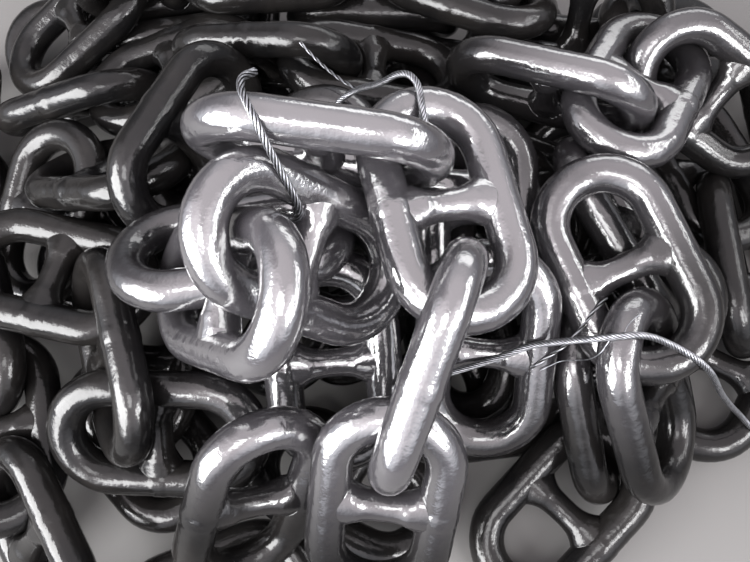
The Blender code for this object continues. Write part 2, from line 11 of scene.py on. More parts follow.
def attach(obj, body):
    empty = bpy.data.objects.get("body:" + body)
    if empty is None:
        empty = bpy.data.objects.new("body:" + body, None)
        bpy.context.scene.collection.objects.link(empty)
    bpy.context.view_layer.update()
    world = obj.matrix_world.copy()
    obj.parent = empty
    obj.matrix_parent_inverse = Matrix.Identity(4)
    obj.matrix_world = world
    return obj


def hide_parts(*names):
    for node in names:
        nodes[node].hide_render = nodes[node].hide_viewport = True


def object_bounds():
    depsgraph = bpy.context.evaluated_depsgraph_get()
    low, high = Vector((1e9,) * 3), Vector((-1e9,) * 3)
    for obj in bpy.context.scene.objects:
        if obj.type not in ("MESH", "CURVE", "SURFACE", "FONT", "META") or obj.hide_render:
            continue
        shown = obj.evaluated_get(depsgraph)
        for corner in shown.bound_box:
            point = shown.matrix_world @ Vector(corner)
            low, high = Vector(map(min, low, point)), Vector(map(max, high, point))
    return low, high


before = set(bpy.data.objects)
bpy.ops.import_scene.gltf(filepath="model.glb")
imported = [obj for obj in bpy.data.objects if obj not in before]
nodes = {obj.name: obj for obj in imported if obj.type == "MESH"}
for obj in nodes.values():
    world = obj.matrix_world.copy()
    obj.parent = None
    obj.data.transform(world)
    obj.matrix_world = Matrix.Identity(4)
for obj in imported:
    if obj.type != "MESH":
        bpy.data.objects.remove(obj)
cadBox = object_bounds()
collection = bpy.context.scene.collection

# camera first, because the cords are measured against its view
viewpoint = {
    "place": (0.0265, -0.4644, 1.344),
    "tilt": 20,  # degrees from straight down, towards the back of the heap
    "lens": 35,
    "sensor": 36,
}

cameraData = bpy.data.cameras.new("camera")
cameraData.lens = viewpoint["lens"]
cameraData.sensor_width = viewpoint["sensor"]
camera = bpy.data.objects.new("camera", cameraData)
camera.location = viewpoint["place"]
camera.rotation_euler = (math.radians(viewpoint["tilt"]), 0, 0)
collection.objects.link(camera)
bpy.context.scene.camera = camera


# An sRGB hex colour as the linear colour that the shaders need.
def linear(hexColour):
    parts = [int(hexColour[i:i + 2], 16) / 255 for i in (1, 3, 5)]
    parts = [p / 12.92 if p <= 0.04045 else ((p + 0.055) / 1.055) ** 2.4 for p in parts]
    return (*parts, 1.0)


def addNode(tree, kind, sockets, **settings):
    node = tree.nodes.new(kind)
    for name, value in settings.items():
        setattr(node, name, value)
    for name, value in sockets.items():  # a name, or a number where names repeat
        if isinstance(value, bpy.types.NodeSocket):
            tree.links.new(value, node.inputs[name])
        else:
            node.inputs[name].default_value = value
    return node


def newMaterial(name):
    material = bpy.data.materials.new(name)
    material.use_nodes = True
    material.node_tree.nodes.clear()
    tree = material.node_tree
    return material, tree, addNode(tree, "ShaderNodeTexCoord", {}).outputs["Object"]


def finishMaterial(tree, sockets):
    shader = addNode(tree, "ShaderNodeBsdfPrincipled", sockets)
    addNode(tree, "ShaderNodeOutputMaterial", {"Surface": shader.outputs["BSDF"]})


# Soft patches, from 0 where the noise is below low to 1 where it is above high.
def patches(tree, place, scale, low, high):
    fog = addNode(tree, "ShaderNodeTexNoise", {"Vector": place, "Scale": scale, "Detail": 3})
    spread = addNode(tree, "ShaderNodeMapRange", {
        "Value": fog.outputs["Fac"], "From Min": low, "From Max": high,
    })
    return spread.outputs["Result"]


# Black bitumen paint, dipped thick on hot rolled steel: it gives the eye a wet black
# gloss with orange peel and long runs that break up the edge of every highlight. Painted
# light: the coat is weighted fullest round two spots, at the summit and behind it at the right,
# where the links are painted to gleam silver grey, and it falls away below as painted shade.
bitumen = {
    "thick": "#040404",
    "thin": "#0d0c0b",
    "paintedLift": "#232224",  # painted light round the spots, which lifts the blacks there
    "thinPatches": (11, 0.35, 0.68),  # 90 mm apart, and the noise between which they fade in
    "dryPatches": (34, 0.45, 0.68),  # 30 mm apart
    "glossRoughness": 0.12,
    "dryRoughness": 0.25,
    "refraction": 1.21,
    "coatRefraction": 2.0,
    "coatRoughness": 0.115,
    # place of each spot of painted light, metres within which its gleam is full, and the coat
    # weight there
    "paintedGleamSpots": (((0.06, -0.15, 0.56), 0.24, 1.0), ((0.44, 0.18, 0.50), 0.10, 0.8)),
    "fadeLength": 0.28,  # metres over which the painted gleam falls away
    # coat weight away from the spots, which paints the rest of the heap darker as shade
    "shadedCoat": 0.05,
    "swell": 55,  # 18 mm waves in the paint
    "swellHeight": 0.0010,
    "peel": 310,  # 3 mm orange peel
    "peelHeight": 0.00022,
    "runStretch": (34, 210, 210),  # runs about 30 mm long and 5 mm wide, along the bar
    "runHeight": 0.00016,
}


def bitumenPaint(name, look):
    material, tree, place = newMaterial(name)
    colour = addNode(tree, "ShaderNodeMix", {
        0: patches(tree, place, *look["thinPatches"]),
        6: linear(look["thick"]),
        7: linear(look["thin"]),
    }, data_type="RGBA")
    # painted gleam: the coat weight, full round the spots and low elsewhere
    paintedGleam = look["shadedCoat"]
    for spot, gleamWithin, most in look["paintedGleamSpots"]:
        reach = addNode(tree, "ShaderNodeVectorMath", {0: place, 1: spot}, operation="DISTANCE")
        nearness = addNode(tree, "ShaderNodeMapRange", {
            "Value": reach.outputs["Value"],
            "From Min": gleamWithin,
            "From Max": gleamWithin + look["fadeLength"],
            "To Min": most,
            "To Max": look["shadedCoat"],
        }, interpolation_type="SMOOTHSTEP")
        paintedGleam = addNode(tree, "ShaderNodeMath", {
            0: paintedGleam, 1: nearness.outputs["Result"],
        }, operation="MAXIMUM").outputs["Value"]
    # painted light: round the spots the base colour is lifted towards a lighter grey
    paintedLitColour = addNode(tree, "ShaderNodeMix", {
        0: paintedGleam, 6: colour.outputs[2], 7: linear(look["paintedLift"]),
    }, data_type="RGBA")
    roughness = addNode(tree, "ShaderNodeMapRange", {
        "Value": patches(tree, place, *look["dryPatches"]),
        "To Min": look["glossRoughness"],
        "To Max": look["dryRoughness"],
    })
    along = addNode(tree, "ShaderNodeAttribute", {}, attribute_name="barWay")
    stretched = addNode(tree, "ShaderNodeMapping", {
        "Vector": along.outputs["Vector"], "Scale": look["runStretch"],
    })
    reliefs = (
        (place, look["swell"], 2, look["swellHeight"]),
        (stretched.outputs["Vector"], 1.0, 3, look["runHeight"]),
        (place, look["peel"], 3, look["peelHeight"]),
    )
    normal = None
    for where, scale, detail, height in reliefs:
        fog = addNode(tree, "ShaderNodeTexNoise", {
            "Vector": where, "Scale": scale, "Detail": detail,
        })
        sockets = {"Strength": 1.0, "Distance": height, "Height": fog.outputs["Fac"]}
        if normal:
            sockets["Normal"] = normal
        normal = addNode(tree, "ShaderNodeBump", sockets).outputs["Normal"]
    finishMaterial(tree, {
        "Base Color": paintedLitColour.outputs[2],
        "Roughness": roughness.outputs["Result"],
        "IOR": look["refraction"],
        "Coat Weight": paintedGleam,
        "Coat IOR": look["coatRefraction"],
        "Coat Roughness": look["coatRoughness"],
        "Normal": normal,
        "Coat Normal": normal,
    })
    return material


# Galvanised steel wire, drawn and laid into strands: it gives the eye a bright silver
# grey, with painted shade that darkens it deeper in the grooves between the strands.
zinc = {
    "bright": "#808185",
    "dull": "#58595c",
    # painted shade in the grooves between the strands
    "grooveShade": "#16140f",
    "metallic": 1.0,
    "roughness": 0.42,
    "spangle": (160, 0.4, 0.7),  # 6 mm patches, as the zinc dulls unevenly
    "grooveStart": 0.05,  # share of the way in from a rope's outside to its middle
    "grooveFull": 0.16,
}


def galvanisedWire(name, look):
    material, tree, place = newMaterial(name)
    metal = addNode(tree, "ShaderNodeMix", {
        0: patches(tree, place, *look["spangle"]),
        6: linear(look["bright"]),
        7: linear(look["dull"]),
    }, data_type="RGBA")
    groove = addNode(tree, "ShaderNodeAttribute", {}, attribute_name="groove")
    depth = addNode(tree, "ShaderNodeMapRange", {
        "Value": groove.outputs["Fac"],
        "From Min": look["grooveStart"],
        "From Max": look["grooveFull"],
    })
    # painted shade: darker the deeper a point lies towards the rope's middle
    colour = addNode(tree, "ShaderNodeMix", {
        0: depth.outputs["Result"], 6: metal.outputs[2], 7: linear(look["grooveShade"]),
    }, data_type="RGBA")
    finishMaterial(tree, {
        "Base Color": colour.outputs[2],
        "Metallic": look["metallic"],
        "Roughness": look["roughness"],
    })
    return material


# Smooth painted concrete for the floor: matt, with faint cloudy patches
concrete = {
    "light": "#3c3b3a",
    "dark": "#393837",
    "roughness": 0.8,
    "clouds": (2.5, 0.35, 0.65),  # 400 mm patches
}


def floorPaint(name, look):
    material, tree, place = newMaterial(name)
    colour = addNode(tree, "ShaderNodeMix", {
        0: patches(tree, place, *look["clouds"]),
        6: linear(look["light"]),
        7: linear(look["dark"]),
    }, data_type="RGBA")
    finishMaterial(tree, {"Base Color": colour.outputs[2], "Roughness": look["roughness"]})
    return material


hiddenBitumen = {**bitumen, "fadeLength": 0.16}  # deep in the heap the painted gleam ends sooner, as painted shade
chainPaint = bitumenPaint("bitumen_paint", bitumen)
hiddenPaint = bitumenPaint("bitumen_paint_inside", hiddenBitumen)
wireZinc = galvanisedWire("galvanised_wire", zinc)
floorFinish = floorPaint("pale_concrete", concrete)
print("paint, zinc and concrete mixed")


sharpAngle = math.radians(50)
mergeDistance = 1e-5  # metres


def keepMesh(name, bm, material):
    mesh = bpy.data.meshes.new(name)
    bm.to_mesh(mesh)
    bm.free()
    mesh.shade_smooth()
    mesh.set_sharp_from_angle(angle=sharpAngle)
    mesh.materials.append(material)
    piece = bpy.data.objects.new(name, mesh)
    collection.objects.link(piece)
    return piece


# Rests what lies on the floor flat on it, and holds the outermost links to the heap's size.
def keepInBox(bm):
    for v in bm.verts:
        v.co = [min(max(c, low), high) for c, low, high in zip(v.co, *cadBox)]


# wire ropes, in metres: six strands laid round a heart, which spring open where they fray
rope = {
    "diameter": 0.010,
    "strands": 6,
    "strandDiameter": 0.0034,
    "frayedLay": 0.130,
    "frayedSpread": 1.35,
    "frayedStart": 0.05,  # length that is frayed at the first end
    "frayedEnd": 0.09,
    "heartDiameter": 0.0040,
    "spacing": 0.002,  # between the points of a wire
    "curveSteps": 20,  # between two points of a route
    "roundness": 2,  # of each wire
    "joined": 1e-6,  # points of a wire nearer than this are one
}
# for each rope its length, one full turn of a strand, and how far its two ends are frayed
ropes = {
    "wire_rope_left": {"length": 0.371, "lay": 0.060, "fray": (0.2, 1.0)},
    "wire_rope_top": {"length": 0.424, "lay": 0.034, "fray": (0.0, 0.3)},
    "wire_rope_right": {"length": 0.997, "lay": 0.036, "fray": (0.0, 1.0)},
}
# broken wires that have sprung out of the ropes, as single wires or as a twisted pair
loose = {
    "strandDiameter": 0.0028,
    "diameter": 0.0054,
    "lay": 0.040,
    "frayedLay": 0.060,
    "fray": (0.0, 0.6),
    "singleDiameter": 0.0015,
}
# for each rope, how many strands each loose wire has and the points that it follows
looseWires = {
    "wire_rope_left": (),
    "wire_rope_top": (
        (2, (
            (-0.096, 0.312, 0.3545), (-0.085, 0.299, 0.353), (-0.065, 0.273, 0.357),
            (-0.045, 0.247, 0.366), (-0.025, 0.221, 0.379), (-0.008, 0.202, 0.390),
            (0.001, 0.191, 0.399),
        )),
    ),
    "wire_rope_right": (
        (2, (
            (0.256, -0.219, 0.294), (0.266, -0.213, 0.304), (0.279, -0.205, 0.311),
            (0.291, -0.199, 0.327), (0.302, -0.192, 0.341), (0.313, -0.180, 0.344),
            (0.325, -0.167, 0.343), (0.336, -0.153, 0.340), (0.345, -0.143, 0.343),
            (0.354, -0.134, 0.341), (0.364, -0.124, 0.335),
        )),
        (1, (
            (0.346, -0.199, 0.389), (0.341, -0.2075, 0.382), (0.334, -0.2165, 0.3705),
            (0.326, -0.219, 0.352), (0.318, -0.216, 0.333), (0.306, -0.212, 0.315),
            (0.296, -0.211, 0.304), (0.286, -0.2145, 0.299), (0.276, -0.219, 0.299),
            (0.268, -0.223, 0.297),
        )),
        (1, (
            (0.363, -0.193, 0.3965), (0.367, -0.186, 0.3955), (0.370, -0.182, 0.3955),
            (0.375, -0.177, 0.3945), (0.382, -0.171, 0.3925), (0.390, -0.166, 0.3895),
        )),
    ),
}

# the routes of the CAD ropes, in metres
ropeRoutes = {
    "wire_rope_left": (
        (-0.120, 0.078, 0.598), (-0.131, 0.060, 0.612), (-0.131, 0.041, 0.618),
        (-0.123, 0.020, 0.624), (-0.112, -0.003, 0.620), (-0.101, -0.021, 0.599),
        (-0.091, -0.034, 0.572), (-0.079, -0.050, 0.546), (-0.069, -0.064, 0.516),
        (-0.073, -0.068, 0.492), (-0.084, -0.065, 0.466), (-0.099, -0.061, 0.438),
        (-0.113, -0.058, 0.408), (-0.125, -0.056, 0.382),
    ),
    "wire_rope_top": (
        (-0.065, 0.174, 0.325), (-0.045, 0.184, 0.342), (-0.029, 0.199, 0.356),
        (-0.009, 0.200, 0.378), (0.011, 0.182, 0.417), (0.026, 0.165, 0.447),
        (0.041, 0.153, 0.474), (0.056, 0.147, 0.496), (0.071, 0.139, 0.508),
        (0.082, 0.124, 0.512), (0.087, 0.108, 0.510), (0.089, 0.092, 0.509),
        (0.092, 0.077, 0.502), (0.096, 0.066, 0.485), (0.100, 0.060, 0.458),
        (0.103, 0.058, 0.425), (0.105, 0.058, 0.405),
    ),
    "wire_rope_right": (
        (0.064, -0.241, 0.257), (0.116, -0.227, 0.271), (0.169, -0.214, 0.285),
        (0.215, -0.202, 0.303), (0.252, -0.192, 0.321), (0.288, -0.193, 0.347),
        (0.323, -0.197, 0.376), (0.350, -0.198, 0.391), (0.376, -0.197, 0.396),
        (0.402, -0.197, 0.387), (0.430, -0.201, 0.370), (0.456, -0.209, 0.357),
        (0.480, -0.221, 0.347), (0.509, -0.233, 0.317), (0.552, -0.245, 0.245),
        (0.597, -0.251, 0.175), (0.638, -0.257, 0.118), (0.668, -0.269, 0.084),
        (0.692, -0.285, 0.071), (0.722, -0.305, 0.044), (0.768, -0.330, 0.016),
        (0.820, -0.350, 0.006),
    ),
}


# A smooth line through the points, as evenly spaced points.
def smoothRoute(points, look):
    route = np.array(points)
    route = np.vstack([2 * route[0] - route[1], route, 2 * route[-1] - route[-2]])
    share = np.linspace(0, 1, look["curveSteps"], endpoint=False)[:, None]
    curve = []
    for before, start, end, after in zip(route, route[1:], route[2:], route[3:]):
        bend = 2 * before - 5 * start + 4 * end - after
        twist = 3 * start - before - 3 * end + after
        curve.append(start + ((end - before) * share + bend * share**2 + twist * share**3) / 2)
    curve = np.vstack(curve + [route[-2]])
    reached = np.concatenate([[0], np.cumsum(np.linalg.norm(np.diff(curve, axis=0), axis=1))])
    stops = np.linspace(0, reached[-1], round(reached[-1] / look["spacing"]) + 1)
    return np.stack([np.interp(stops, reached, curve[:, k]) for k in range(3)], axis=1)


# Two directions square to the line at each point, carried along it without twist.
def carriedFrames(line):
    along = np.gradient(line, axis=0)
    along /= np.linalg.norm(along, axis=1)[:, None]
    side = np.cross(along[0], (0.3, 0.2, 0.93))  # any direction that no rope starts along
    sides = []
    for direction in along:
        side = side - direction * (side @ direction)
        side = side / np.linalg.norm(side)
        sides.append(side)
    sides = np.array(sides)
    return sides, np.cross(along, sides)


# Round tubes along the given lines, as one mesh.
def tubeMesh(name, lines, radii, roundness, closed):
    data = bpy.data.curves.new(name, "CURVE")
    data.dimensions = "3D"
    data.bevel_depth = 1.0
    data.bevel_resolution = roundness
    data.use_fill_caps = not closed
    for line, radius in zip(lines, radii):
        spline = data.splines.new("POLY")
        spline.points.add(len(line) - 1)
        spline.points.foreach_set("co", np.hstack([line, np.ones((len(line), 1))]).ravel())
        spline.points.foreach_set("radius", np.broadcast_to(radius, len(line)).copy())
        spline.use_cyclic_u = closed
    guide = bpy.data.objects.new(name, data)
    mesh = bpy.data.meshes.new_from_object(guide)
    bpy.data.objects.remove(guide)
    bpy.data.curves.remove(data)
    return mesh


# Round wires along the given lines, as one closed mesh that knows how deep each point lies.
def wires(name, lines, radii, material, centreLine, outside):
    mesh = tubeMesh(name, lines, radii, rope["roundness"], False)
    bm = bmesh.new()
    bm.from_mesh(mesh)
    bpy.data.meshes.remove(mesh)
    bmesh.ops.remove_doubles(bm, verts=bm.verts, dist=rope["joined"])
    bmesh.ops.recalc_face_normals(bm, faces=bm.faces)
    middle = KDTree(len(centreLine))
    for index, point in enumerate(centreLine):
        middle.insert(point, index)
    middle.balance()
    depth = bm.verts.layers.float.new("groove")
    for v in bm.verts:
        v[depth] = 1 - min(1, middle.find(v.co)[2] / outside)
    keepInBox(bm)
    return keepMesh(name, bm, material)


# The strands of a rope round its centreline, opened towards its frayed ends.
def laidStrands(line, look, fray):
    sides, ups = carriedFrames(line)
    steps = np.linalg.norm(np.diff(line, axis=0), axis=1)
    reached = np.concatenate([[0], np.cumsum(steps)])
    opened = np.clip(1 - reached / look["frayedStart"], 0, 1) * fray[0]
    left = (reached[-1] - reached) / look["frayedEnd"]
    opened = np.maximum(opened, np.clip(1 - left, 0, 1) * fray[1])
    lay = look["lay"] + (look["frayedLay"] - look["lay"]) * opened
    turn = np.concatenate([[0], np.cumsum(steps / lay[1:])]) * 2 * math.pi
    offset = (look["diameter"] - look["strandDiameter"]) / 2
    offset = offset * (1 + (look["frayedSpread"] - 1) * opened)
    strands = []
    for strand in range(look["strands"]):
        angle = turn + 2 * math.pi * strand / look["strands"]
        around = sides * np.cos(angle)[:, None] + ups * np.sin(angle)[:, None]
        strands.append(line + around * offset[:, None])
    return strands


def wirePiece(name, lines, radii, centreLine, outside):
    piece = wires(name, lines, radii, wireZinc, centreLine, outside)
    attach(piece, "root")
    return piece


def layLoose(name, strands, points):
    line = smoothRoute(points, rope)
    if strands == 1:
        radius = loose["singleDiameter"] / 2
        return wirePiece(name, [line], [radius], line, radius)
    lines = laidStrands(line, {**rope, **loose, "strands": strands}, loose["fray"])
    radii = [loose["strandDiameter"] / 2] * strands
    return wirePiece(name, lines, radii, line, loose["diameter"] / 3)


def layRope(node, look):
    line = smoothRoute(ropeRoutes[node], rope)
    lines = [line] + laidStrands(line, {**rope, **look}, look["fray"])
    radii = [rope["heartDiameter"] / 2] + [rope["strandDiameter"] / 2] * rope["strands"]
    piece = wirePiece("laid_" + node, lines, radii, line, rope["diameter"] / 2)
    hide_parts(node)
    sprung = [
        layLoose(f"loose_{node}_{number}", *wire) for number, wire in enumerate(looseWires[node])
    ]


for node, look in ropes.items():
    layRope(node, look)
print("three wire ropes laid")


# One stud link, slightly slim so that it fits its eight-sided CAD solid
link = {
    "barRadius": 0.0296,
    "bowRadius": 0.0777,
    "halfStraight": 0.072,
    "barSides": 24,
    "bowSteps": 22,
    "straightStops": (
        -0.072, -0.062, -0.052, -0.043, -0.035, -0.028, -0.021, -0.0155, -0.012, -0.008, -0.004,
        0.0, 0.004, 0.008, 0.012, 0.0155, 0.021, 0.028, 0.035, 0.043, 0.052, 0.062, 0.072,
    ),
    "weldRise": 0.0011,
    "weldHalfWidth": 0.013,
    "weldSteepness": 2.2,  # at 2 the middle half of the bead is flat on top
    "weldDepth": 1.05,  # bar radii from the bar's middle that still count as that bar
    "studSteps": 28,
    "studRadius": 0.0222,
    "studReach": 0.0478,  # from the middle to the inside of the bar
    "studStations": (0, 0.2, 0.36, 0.5, 0.62, 0.72, 0.8, 0.87, 0.93, 0.97, 1),
    "flare": 3.2,  # the power by which it widens towards its feet
    "footDepth": 0.068,
    "footHalfLength": 0.0355,  # along the bar
    "footHalfWidth": 0.0266,  # across the bar
    "seamRadius": 0.0005,
    "seamRoundness": 1,
    "seamSteps": 36,
}


def ringEdges(geometry):
    return [e for e in geometry if isinstance(e, bmesh.types.BMEdge)]


# The bar of a link: two straights pulled out and two bows spun, closed on itself.
def barRing(bm, look):
    bow = look["bowRadius"]
    half = look["halfStraight"]
    place = Matrix.Translation((-half, bow, 0)) @ Matrix.Rotation(math.pi / 2, 4, "Y")
    start = bmesh.ops.create_circle(
        bm, cap_ends=False, radius=look["barRadius"], segments=look["barSides"], matrix=place,
    )
    edges = list({e for v in start["verts"] for e in v.link_edges})
    stops = look["straightStops"]
    for way in (1, -1):
        for here, there in zip(stops, stops[1:]):
            pulled = bmesh.ops.extrude_edge_only(bm, edges=edges)["geom"]
            verts = [g for g in pulled if isinstance(g, bmesh.types.BMVert)]
            bmesh.ops.translate(bm, verts=verts, vec=(way * (there - here), 0, 0))
            edges = [e for e in ringEdges(pulled) if all(v in verts for v in e.verts)]
        verts = list({v for e in edges for v in e.verts})
        spun = bmesh.ops.spin(
            bm, geom=verts + edges, cent=(way * half, 0, 0), axis=(0, 0, -1),
            angle=math.pi, steps=look["bowSteps"],
        )
        edges = ringEdges(spun["geom_last"])
    bmesh.ops.remove_doubles(bm, verts=bm.verts, dist=mergeDistance)


# The stud: half a trumpet-shaped profile mirrored, spun, and narrowed where it hugs the bar.
def stud(bm, look):
    thin = look["studRadius"]
    foot = look["footHalfLength"]
    half = []
    for s in look["studStations"]:
        half.append((s * look["studReach"], thin + (foot - thin) * s ** look["flare"]))
    half += [(look["footDepth"], foot), (look["footDepth"], 0)]
    profile = [(-y, r) for y, r in reversed(half[1:])] + half
    verts = [bm.verts.new((r, y, 0)) for y, r in profile]
    edges = [bm.edges.new(pair) for pair in zip(verts, verts[1:])]
    old = set(bm.verts) - set(verts)
    bmesh.ops.spin(
        bm, geom=verts + edges, cent=(0, 0, 0), axis=(0, 1, 0), angle=2 * math.pi,
        steps=look["studSteps"], use_merge=True,
    )
    for v in set(bm.verts) - old:
        v.co.z *= min(1, look["footHalfWidth"] / max(math.hypot(v.co.x, v.co.z), 0.001))


# The paint's fillet where each foot of the stud meets the bar, as closed lines.
def footSeams(look):
    angles = np.linspace(0, 2 * math.pi, look["seamSteps"], endpoint=False)
    x = look["footHalfLength"] * np.cos(angles)
    z = look["footHalfWidth"] * np.sin(angles)
    y = look["bowRadius"] - np.sqrt(look["barRadius"] ** 2 - z**2)
    return [np.column_stack([x, way * y, z]) for way in (1, -1)]


# The flash weld's low swelling round the bar, opposite the stud's welded foot.
def weldBead(bm, look):
    for v in bm.verts:
        if v.co.y > -look["bowRadius"] + look["barRadius"] * look["weldDepth"]:
            continue
        near = 1 - abs(v.co.x) / look["weldHalfWidth"]
        if near > 0:
            centre = Vector((v.co.x, -look["bowRadius"], 0))
            rise = look["weldRise"] * min(1.0, near * look["weldSteepness"])
            v.co += (v.co - centre).normalized() * rise


# How far along the bar from the weld, and where on the bar's section, for the paint.
def barWay(point, look):
    bow = look["bowRadius"]
    half = look["halfStraight"]
    across = math.copysign(1, point.y)
    if abs(point.x) <= half:
        reached = abs(point.x)
        outward = point.y * across - bow
        if across > 0:
            reached = 2 * half + math.pi * bow - reached
    else:
        angle = math.atan2(point.y, abs(point.x) - half)
        reached = half + bow * (angle + math.pi / 2)
        outward = math.hypot(point.y, abs(point.x) - half) - bow
    return Vector((reached, outward, point.z))


def linkShape(look):
    bm = bmesh.new()
    way = bm.verts.layers.float_vector.new("barWay")
    barRing(bm, look)
    for v in bm.verts:
        v[way] = barWay(v.co, look)
    barCount = len(bm.verts)
    weldBead(bm, look)
    stud(bm, look)
    bm.verts.ensure_lookup_table()
    for v in bm.verts[barCount:]:
        v[way] = Vector((v.co.y + 1, v.co.x, v.co.z))  # a metre from the runs on the bar
    bmesh.ops.remove_doubles(bm, verts=bm.verts, dist=mergeDistance)
    seamRadii = [look["seamRadius"]] * 2
    seams = tubeMesh("foot_seams", footSeams(look), seamRadii, look["seamRoundness"], True)
    bm.from_mesh(seams)
    bpy.data.meshes.remove(seams)
    bmesh.ops.recalc_face_normals(bm, faces=bm.faces)
    mesh = bpy.data.meshes.new("link_shape")
    bm.to_mesh(mesh)
    bm.free()
    return mesh


# Where a CAD link lies: its middle and its length, width and thickness directions.
def linkPlace(node):
    mesh = node.data
    mesh.calc_loop_triangles()
    points = np.empty(len(mesh.vertices) * 3)
    mesh.vertices.foreach_get("co", points)
    corners = np.empty(len(mesh.loop_triangles) * 3, int)
    mesh.loop_triangles.foreach_get("vertices", corners)
    corners = points.reshape(-1, 3)[corners.reshape(-1, 3)]
    area = np.linalg.norm(
        np.cross(corners[:, 1] - corners[:, 0], corners[:, 2] - corners[:, 0]), axis=1,
    )
    middle = (corners.mean(axis=1) * area[:, None]).sum(axis=0) / area.sum()
    corners = corners - middle
    total = corners.sum(axis=1)
    spread = np.einsum("t,tci,tcj->ij", area, corners, corners)
    spread += np.einsum("t,ti,tj->ij", area, total, total)
    thickness, width, length = np.linalg.eigh(spread)[1].T
    thickness = np.cross(length, width)
    turn = Matrix(np.column_stack([length, width, thickness]).tolist())
    return Matrix.Translation(middle.tolist()) @ turn.to_4x4()


# Hammered unevenness, by where each point lies in the heap, so that no two links match
hammering = {
    "height": 0.0004,
    "coarse": 42,  # 24 mm apart
    "fine": 110,  # 9 mm apart
    "fineShare": 0.5,
}
# how far the runs in the paint are moved from each link to the next
paintShift = Vector((0.913, 0.377, 0.529))


def roughen(bm, look):
    bm.normal_update()
    for v in bm.verts:
        fine = look["fineShare"] * noise.noise(v.co * look["fine"])
        swell = noise.noise(v.co * look["coarse"]) + fine
        v.co += v.normal * look["height"] * swell


def placedLink(name, shape, place, number):
    bm = bmesh.new()
    bm.from_mesh(shape)
    bmesh.ops.transform(bm, matrix=place, verts=bm.verts)
    roughen(bm, hammering)
    keepInBox(bm)
    way = bm.verts.layers.float_vector["barWay"]
    for v in bm.verts:
        v[way] += paintShift * number
    piece = keepMesh(name, bm, chainPaint)
    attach(piece, "root")
    return piece


shape = linkShape(link)
linkNodes = [name for name in nodes if "link" in name and name != "hidden_links_core"]
for number, name in enumerate(linkNodes):
    piece = placedLink("painted_" + name, shape, linkPlace(nodes[name]), number)
    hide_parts(name)
print(len(linkNodes), "links in place,", len(shape.polygons), "faces each")

# Links inside the heap, which stand for its solid core. Each try drops one at a chance place
# inside the core and lets the links round it push it clear. It stays if it came clear.
innerHeap = {
    "seed": 5,
    "tries": 420,
    "reach": ((-0.72, -0.52), (0.76, 0.62)),  # metres, as corners of the search in plan
    "steepest": 60,  # degrees
    "pushes": (40, 80),  # steps before the first look and before the second
    "stillSunk": (0.010, 0.0015),  # metres that a bar may then still sink into another
    "slack": 0.008,  # metres by which inner links may overlap one another
    "gyration": 0.0120,  # square metres, which sets how easily a push turns a link
    "mostTurn": 0.2,  # radians in one step
    "nearby": 0.32,  # metres within which other links can touch it
    "overTop": 0.07,  # metres that a link may stand out of the core
    "apron": 0.06,  # metres, the core's height taken beyond its edge
    "outsideShare": 0.5,  # how much of a link may lie beyond the core's edge
}
# how many balls stand for a bow, a straight and the stud, and how far out their rows reach
ballCounts = {"bow": 10, "straight": 4, "stud": 7}
ballSpans = {"straight": 0.6, "stud": 0.46}


# Points along a link's bar and stud, and the radius at each, as stand-ins for the push.
def linkBalls(look):
    bow = look["bowRadius"]
    half = look["halfStraight"]
    angles = np.radians(np.linspace(-90, 90, ballCounts["bow"]))
    bowLine = np.column_stack([half + bow * np.cos(angles), bow * np.sin(angles)])
    alongBar = np.linspace(-ballSpans["straight"], ballSpans["straight"], ballCounts["straight"])
    straight = np.column_stack([alongBar * half, np.full(len(alongBar), bow)])
    acrossLink = np.linspace(-ballSpans["stud"], ballSpans["stud"], ballCounts["stud"])
    studLine = np.column_stack([np.zeros(len(acrossLink)), acrossLink * bow])
    centres = np.vstack([bowLine, -bowLine, straight, -straight, studLine])
    radii = np.full(len(centres), look["barRadius"])
    radii[-len(studLine):] = look["studRadius"]
    return np.column_stack([centres, np.zeros(len(centres))]), radii


# One step of the push: the link's new place and turn, and how deep it sank before.
def pushStep(place, turn, balls, radii, others, otherRadii, look):
    spots = balls @ turn.T + place
    apart = spots[:, None] - others
    distance = np.linalg.norm(apart, axis=2)
    sunk = np.maximum(radii[:, None] + otherRadii - distance, 0)
    low = np.maximum(radii - spots[:, 2], 0)
    hits = np.maximum((sunk > 0).sum(axis=1), 1)
    pushes = (apart * (sunk / distance)[:, :, None]).sum(axis=1) / hits[:, None]
    pushes[:, 2] += low
    touched = (sunk > 0).any(axis=1) | (low > 0)
    if not touched.any():
        return place, turn, 0.0
    spin = Vector(np.cross(spots - place, pushes)[touched].mean(axis=0) / look["gyration"])
    turned = np.array(Matrix.Rotation(min(spin.length, look["mostTurn"]), 3, spin)) @ turn
    return place + pushes[touched].mean(axis=0), turned, max(sunk.max(), low.max())


# The core's surface over a place in plan, seen from a metre up, or nothing beyond its edge.
def coreTop(core, x, y):
    return core.ray_cast(Vector((x, y, 1)), Vector((0, 0, -1)))[0]


# Whether a link lies low enough in the core, and mostly inside its edge.
def liesInCore(spots, radii, core, look):
    tops = [coreTop(core, x, y) for x, y, z in spots]
    heights = np.array([max(top.z, look["apron"]) if top else look["apron"] for top in tops])
    over = spots[:, 2] + radii - heights
    outside = sum(top is None for top in tops) / len(tops)
    return over.max() < look["overTop"] and outside < look["outsideShare"]


